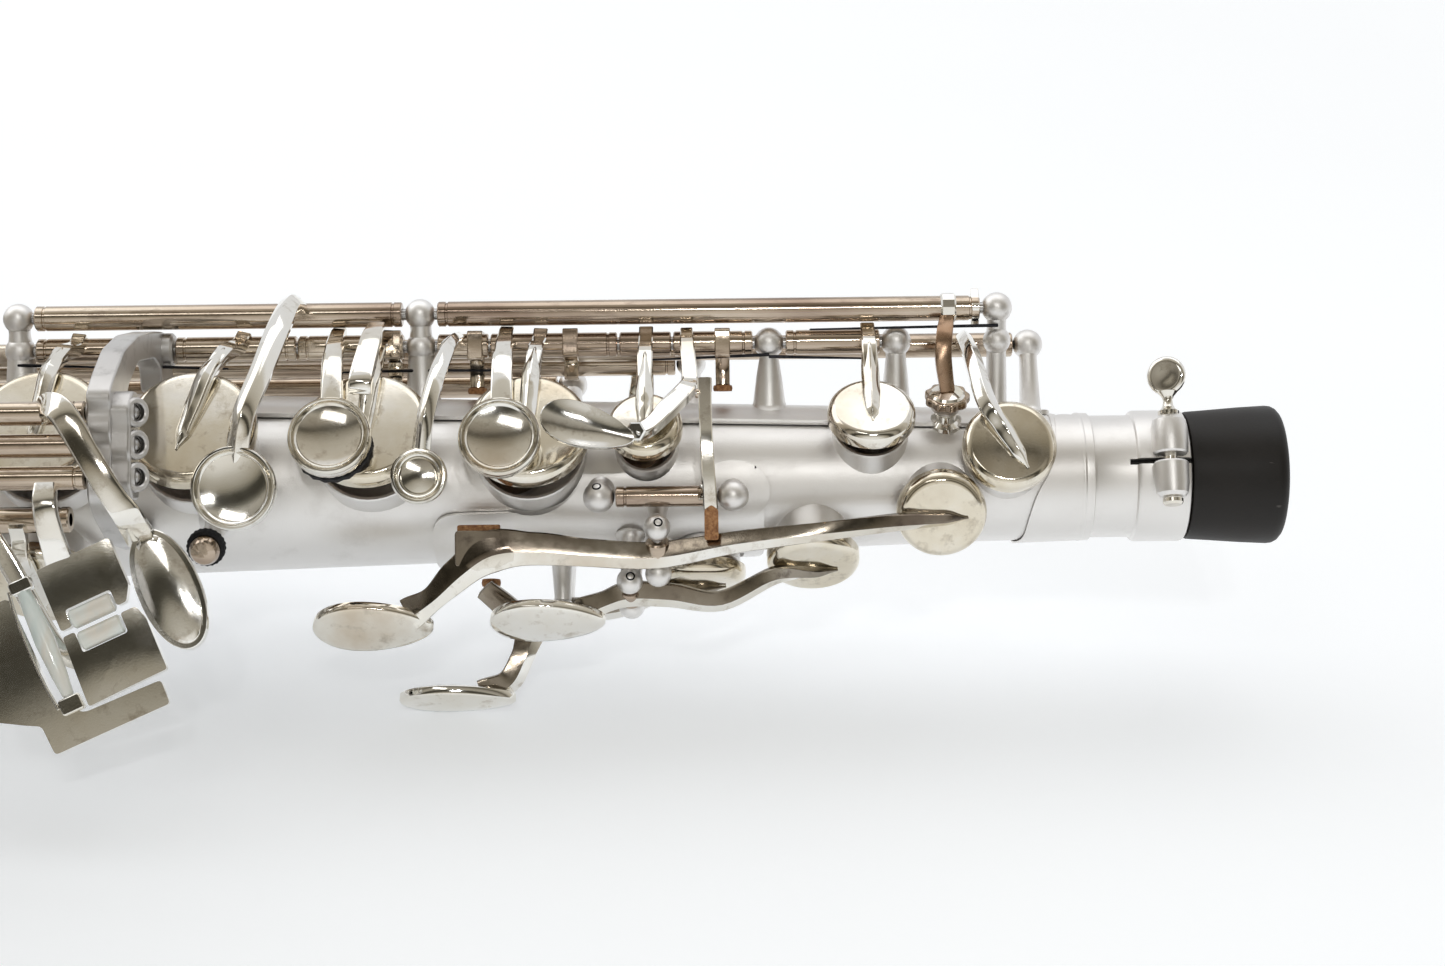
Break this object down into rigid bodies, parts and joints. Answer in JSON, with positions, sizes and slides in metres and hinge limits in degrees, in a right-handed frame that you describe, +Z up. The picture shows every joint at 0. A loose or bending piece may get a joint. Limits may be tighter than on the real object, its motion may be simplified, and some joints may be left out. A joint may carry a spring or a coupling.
{
  "type": "saxophone body",
  "caption": "Curved saxophone body without neck: tapered tube, bow, flared bell, sprung keys on hinge rods, neck socket closed by an end plug.",
  "frame": {"origin": "middle of the resting box, on the table", "axes": "+X towards the neck socket along the tube, -Y towards the bell side, +Z up from the table the instrument lies on"},
  "size_m": [0.5794, 0.1982, 0.1263],
  "materials": {
    "satin_silver": "bead-blasted silver plate on brass",
    "polished_silver": "polished silver plate on brass, tarnished yellow in places",
    "steel": "turned steel rod, slightly oxidised",
    "black_plastic": "satin black moulded plastic",
    "pearl": "mother of pearl"
  },
  "bodies": {
    "body": {"body_tube": "satin_silver", "neck_socket": "satin_silver", "bow": "satin_silver", "bell": "satin_silver", "body_bow_collar": "satin_silver", "bell_bow_collar": "satin_silver", "bell_brace": "satin_silver", "upper_stack_rib": "satin_silver", "lower_stack_rib": "satin_silver", "side_key_rib": "satin_silver", "palm_key_plate": "satin_silver", "arch_bracket": "satin_silver", "pinky_post": "satin_silver", "bell_key_rail": "satin_silver", "c_sharp_posts": "satin_silver", "bow_post": "satin_silver", "octave_posts": "satin_silver", "bell_key_guard": "satin_silver", "thumb_hook": "satin_silver", "thumb_rest": "black_plastic", "strap_ring": "satin_silver", "top_hinge_rod": "steel", "stack_hinge_rod": "steel", "lower_hinge_rod": "steel"},
    "octave_key": {"octave_key": "polished_silver"},
    "octave_lever": {"octave_lever": "polished_silver"},
    "high_e_key": {"high_e_key": "polished_silver"},
    "palm_f_key": {"palm_f_key": "polished_silver"},
    "palm_eb_key": {"palm_eb_key": "polished_silver"},
    "palm_d_key": {"palm_d_key": "polished_silver"},
    "front_f_key": {"front_f_key": "polished_silver"},
    "front_f_link": {"front_f_link": "polished_silver"},
    "c_vent_key": {"c_vent_key": "polished_silver"},
    "c_key": {"c_key": "polished_silver"},
    "b_key": {"b_key": "polished_silver"},
    "bis_key": {"bis_key": "polished_silver"},
    "a_key": {"a_key": "polished_silver"},
    "g_cup_key": {"g_cup_key": "polished_silver"},
    "g_key": {"g_key": "polished_silver"},
    "f_sharp_key": {"f_sharp_key": "polished_silver"},
    "f_key": {"f_key": "polished_silver"},
    "e_key": {"e_key": "polished_silver"},
    "d_key": {"d_key": "polished_silver"},
    "low_eb_key": {"low_eb_key": "polished_silver"},
    "low_c_key": {"low_c_key": "polished_silver"},
    "g_sharp_key": {"g_sharp_key": "polished_silver"},
    "g_sharp_touch": {"g_sharp_touch": "polished_silver"},
    "side_c_key": {"side_c_key": "polished_silver"},
    "side_bb_key": {"side_bb_key": "polished_silver"},
    "low_bb_key": {"low_bb_key": "polished_silver"},
    "low_b_key": {"low_b_key": "polished_silver"},
    "low_c_sharp_key": {"low_c_sharp_key": "polished_silver"},
    "low_b_touch": {"low_b_touch": "polished_silver"},
    "low_bb_touch": {"low_bb_touch": "polished_silver"},
    "low_c_sharp_touch": {"low_c_sharp_touch": "polished_silver"},
    "low_c_sharp_roller": {"low_c_sharp_roller": "pearl"},
    "low_b_roller": {"low_b_roller": "pearl"},
    "low_bb_roller": {"low_bb_roller": "pearl"},
    "clamp_screw": {"clamp_screw": "polished_silver"},
    "end_plug": {"end_plug": "black_plastic"}
  },
  "joints": [
    {"name": "octave_key_hinge", "type": "hinge", "parent": "body", "child": "octave_key", "pos_m": [0.16927, 0.06776, 0.07885], "axis": [0.9989, 0, 0.0459], "range_deg": [-7, 0], "stiffness_Nm_per_rad": 0.04, "springref_deg": 20.05},
    {"name": "octave_lever_hinge", "type": "hinge", "parent": "body", "child": "octave_lever", "pos_m": [0.09123, 0.08365, 0.03453], "axis": [0.9989, 0, 0.0459], "range_deg": [-6, 0], "stiffness_Nm_per_rad": 0.05, "springref_deg": 20.05},
    {"name": "high_e_key_hinge", "type": "hinge", "parent": "body", "child": "high_e_key", "pos_m": [0.08793, 0.07619, 0.06266], "axis": [0.9989, 0, 0.0459], "range_deg": [-7, 0], "stiffness_Nm_per_rad": 0.06, "springref_deg": 20.05},
    {"name": "palm_f_key_hinge", "type": "hinge", "parent": "body", "child": "palm_f_key", "pos_m": [0.15923, 0.03026, 0.04244], "axis": [-0.0458, -0.0675, 0.9967], "range_deg": [-4, 0], "stiffness_Nm_per_rad": 0.05, "springref_deg": 20.05},
    {"name": "palm_eb_key_hinge", "type": "hinge", "parent": "body", "child": "palm_eb_key", "pos_m": [0.1539, 0.03402, 0.02996], "axis": [-0.039, -0.528, 0.8484], "range_deg": [-4.8, 0], "stiffness_Nm_per_rad": 0.05, "springref_deg": 20.05},
    {"name": "palm_d_key_hinge", "type": "hinge", "parent": "body", "child": "palm_d_key", "pos_m": [0.13994, 0.04302, 0.02003], "axis": [-0.023, -0.8649, 0.5014], "range_deg": [-4.4, 0], "stiffness_Nm_per_rad": 0.05, "springref_deg": 20.05},
    {"name": "front_f_key_hinge", "type": "hinge", "parent": "body", "child": "front_f_key", "pos_m": [0.16957, 0.06561, 0.07241], "axis": [0.9989, 0, 0.0459], "range_deg": [0, 3], "stiffness_Nm_per_rad": 0.05, "springref_deg": -20.05},
    {"name": "front_f_link_hinge", "type": "hinge", "parent": "body", "child": "front_f_link", "pos_m": [0.16046, 0.03431, 0.05276], "axis": [0.9989, 0, 0.0459], "range_deg": [-3, 0], "stiffness_Nm_per_rad": 0.02, "springref_deg": 20.05},
    {"name": "c_vent_key_hinge", "type": "hinge", "parent": "body", "child": "c_vent_key", "pos_m": [0.19454, 0.06561, 0.07356], "axis": [0.9989, 0, 0.0459], "range_deg": [0, 7], "stiffness_Nm_per_rad": 0.05, "springref_deg": -20.05},
    {"name": "c_key_hinge", "type": "hinge", "parent": "body", "child": "c_key", "pos_m": [0.15559, 0.06561, 0.07177], "axis": [0.9989, 0, 0.0459], "range_deg": [0, 9], "stiffness_Nm_per_rad": 0.05, "springref_deg": -20.05},
    {"name": "b_key_hinge", "type": "hinge", "parent": "body", "child": "b_key", "pos_m": [0.13661, 0.06561, 0.0709], "axis": [0.9989, 0, 0.0459], "range_deg": [0, 9], "stiffness_Nm_per_rad": 0.05, "springref_deg": -20.05},
    {"name": "bis_key_hinge", "type": "hinge", "parent": "body", "child": "bis_key", "pos_m": [0.11762, 0.06561, 0.07003], "axis": [0.9989, 0, 0.0459], "range_deg": [0, 3], "stiffness_Nm_per_rad": 0.05, "springref_deg": -20.05},
    {"name": "a_key_hinge", "type": "hinge", "parent": "body", "child": "a_key", "pos_m": [0.09465, 0.06561, 0.06897], "axis": [0.9989, 0, 0.0459], "range_deg": [0, 9], "stiffness_Nm_per_rad": 0.05, "springref_deg": -20.05},
    {"name": "g_cup_key_hinge", "type": "hinge", "parent": "body", "child": "g_cup_key", "pos_m": [0.07067, 0.06561, 0.06787], "axis": [0.9989, 0, 0.0459], "range_deg": [0, 9], "stiffness_Nm_per_rad": 0.05, "springref_deg": -20.05},
    {"name": "g_key_hinge", "type": "hinge", "parent": "body", "child": "g_key", "pos_m": [0.06738, 0.06776, 0.07418], "axis": [0.9989, 0, 0.0459], "range_deg": [0, 4], "stiffness_Nm_per_rad": 0.05, "springref_deg": -20.05},
    {"name": "f_sharp_key_hinge", "type": "hinge", "parent": "body", "child": "f_sharp_key", "pos_m": [0.03971, 0.06561, 0.06645], "axis": [0.9989, 0, 0.0459], "range_deg": [0, 9], "stiffness_Nm_per_rad": 0.05, "springref_deg": -20.05},
    {"name": "f_key_hinge", "type": "hinge", "parent": "body", "child": "f_key", "pos_m": [-0.00445, 0.07513, 0.06875], "axis": [0.9989, 0, 0.0459], "range_deg": [0, 9], "stiffness_Nm_per_rad": 0.05, "springref_deg": -20.05},
    {"name": "e_key_hinge", "type": "hinge", "parent": "body", "child": "e_key", "pos_m": [-0.03741, 0.07513, 0.06723], "axis": [0.9989, 0, 0.0459], "range_deg": [0, 9], "stiffness_Nm_per_rad": 0.05, "springref_deg": -20.05},
    {"name": "d_key_hinge", "type": "hinge", "parent": "body", "child": "d_key", "pos_m": [-0.09335, 0.07513, 0.06467], "axis": [0.9989, 0, 0.0459], "range_deg": [0, 9], "stiffness_Nm_per_rad": 0.05, "springref_deg": -20.05},
    {"name": "low_eb_key_hinge", "type": "hinge", "parent": "body", "child": "low_eb_key", "pos_m": [-0.1463, 0.07513, 0.06223], "axis": [0.9989, 0, 0.0459], "range_deg": [0, 7], "stiffness_Nm_per_rad": 0.06, "springref_deg": -20.05},
    {"name": "low_c_key_hinge", "type": "hinge", "parent": "body", "child": "low_c_key", "pos_m": [-0.18525, 0.07513, 0.06044], "axis": [0.9989, 0, 0.0459], "range_deg": [0, 9], "stiffness_Nm_per_rad": 0.1, "springref_deg": -20.05},
    {"name": "g_sharp_key_hinge", "type": "hinge", "parent": "body", "child": "g_sharp_key", "pos_m": [0.0326, 0.02777, 0.04675], "axis": [0.9989, 0, 0.0459], "range_deg": [-7, 0], "stiffness_Nm_per_rad": 0.05, "springref_deg": 20.05},
    {"name": "g_sharp_touch_hinge", "type": "hinge", "parent": "body", "child": "g_sharp_touch", "pos_m": [0.0384, 0.02276, 0.07309], "axis": [0.9989, 0, 0.0459], "range_deg": [0, 5], "stiffness_Nm_per_rad": 0.05, "springref_deg": -20.05},
    {"name": "side_c_key_hinge", "type": "hinge", "parent": "body", "child": "side_c_key", "pos_m": [0.05023, 0.0806, 0.05539], "axis": [0.9989, 0, 0.0459], "range_deg": [0, 8], "stiffness_Nm_per_rad": 0.05, "springref_deg": -20.05},
    {"name": "side_bb_key_hinge", "type": "hinge", "parent": "body", "child": "side_bb_key", "pos_m": [0.03654, 0.08391, 0.04822], "axis": [0.9989, 0, 0.0459], "range_deg": [0, 8], "stiffness_Nm_per_rad": 0.05, "springref_deg": -20.05},
    {"name": "low_bb_key_hinge", "type": "hinge", "parent": "body", "child": "low_bb_key", "pos_m": [-0.08143, 0.01577, 0.08847], "axis": [0.9989, 0, 0.0459], "range_deg": [0, 9], "stiffness_Nm_per_rad": 0.12, "springref_deg": -20.05},
    {"name": "low_b_key_hinge", "type": "hinge", "parent": "body", "child": "low_b_key", "pos_m": [-0.15036, 0.01577, 0.0853], "axis": [0.9989, 0, 0.0459], "range_deg": [0, 9], "stiffness_Nm_per_rad": 0.12, "springref_deg": -20.05},
    {"name": "low_c_sharp_key_hinge", "type": "hinge", "parent": "body", "child": "low_c_sharp_key", "pos_m": [-0.14109, -0.04439, 0.01428], "axis": [0.9989, 0, 0.0459], "range_deg": [0, 6], "stiffness_Nm_per_rad": 0.08, "springref_deg": -20.05},
    {"name": "low_b_touch_hinge", "type": "hinge", "parent": "body", "child": "low_b_touch", "pos_m": [0.02766, 0.01983, 0.06712], "axis": [0.9989, 0, 0.0459], "range_deg": [0, 5], "stiffness_Nm_per_rad": 0.05, "springref_deg": -20.05},
    {"name": "low_bb_touch_hinge", "type": "hinge", "parent": "body", "child": "low_bb_touch", "pos_m": [0.01693, 0.01691, 0.06116], "axis": [0.9989, 0, 0.0459], "range_deg": [0, 5], "stiffness_Nm_per_rad": 0.05, "springref_deg": -20.05},
    {"name": "low_c_sharp_touch_hinge", "type": "hinge", "parent": "body", "child": "low_c_sharp_touch", "pos_m": [0.0389, 0.01691, 0.06216], "axis": [0.9989, 0, 0.0459], "range_deg": [0, 4], "stiffness_Nm_per_rad": 0.05, "springref_deg": -20.05},
    {"name": "low_c_sharp_roller_hinge", "type": "hinge", "parent": "low_c_sharp_touch", "child": "low_c_sharp_roller", "pos_m": [0.0521, 0.00263, 0.04155], "axis": [0.8936, 0.2445, 0.3763], "continuous": true},
    {"name": "low_b_roller_hinge", "type": "hinge", "parent": "low_b_touch", "child": "low_b_roller", "pos_m": [0.05411, 0.00022, 0.03833], "axis": [0.8936, 0.2445, 0.3763], "continuous": true},
    {"name": "low_bb_roller_hinge", "type": "hinge", "parent": "low_bb_touch", "child": "low_bb_roller", "pos_m": [0.04356, -0.00082, 0.03642], "axis": [-0.448, 0.5365, 0.7152], "continuous": true},
    {"name": "clamp_screw_hinge", "type": "hinge", "parent": "body", "child": "clamp_screw", "pos_m": [0.26347, 0.04464, 0.05941], "axis": [-0.0346, 0.6578, 0.7524], "range_deg": [-180, 180]},
    {"name": "end_plug_slide", "type": "slide", "parent": "body", "child": "end_plug", "axis": [0.9989, 0, 0.0459], "range_m": [0, 0.022]}
  ],
  "couplings": [
    {"joint": "octave_key_hinge", "follows": "octave_lever_hinge", "ratio": 1.1},
    {"joint": "c_vent_key_hinge", "follows": "b_key_hinge", "ratio": 0.77},
    {"joint": "front_f_link_hinge", "follows": "front_f_key_hinge", "ratio": -1},
    {"joint": "c_key_hinge", "follows": "a_key_hinge", "ratio": 1},
    {"joint": "g_cup_key_hinge", "follows": "g_key_hinge", "ratio": 2.25},
    {"joint": "f_sharp_key_hinge", "follows": "f_key_hinge", "ratio": 1},
    {"joint": "g_sharp_key_hinge", "follows": "g_sharp_touch_hinge", "ratio": -1.4},
    {"joint": "low_bb_key_hinge", "follows": "low_bb_touch_hinge", "ratio": 1.8},
    {"joint": "low_b_key_hinge", "follows": "low_b_touch_hinge", "ratio": 1.8},
    {"joint": "low_c_sharp_key_hinge", "follows": "low_c_sharp_touch_hinge", "ratio": 1.5}
  ]
}
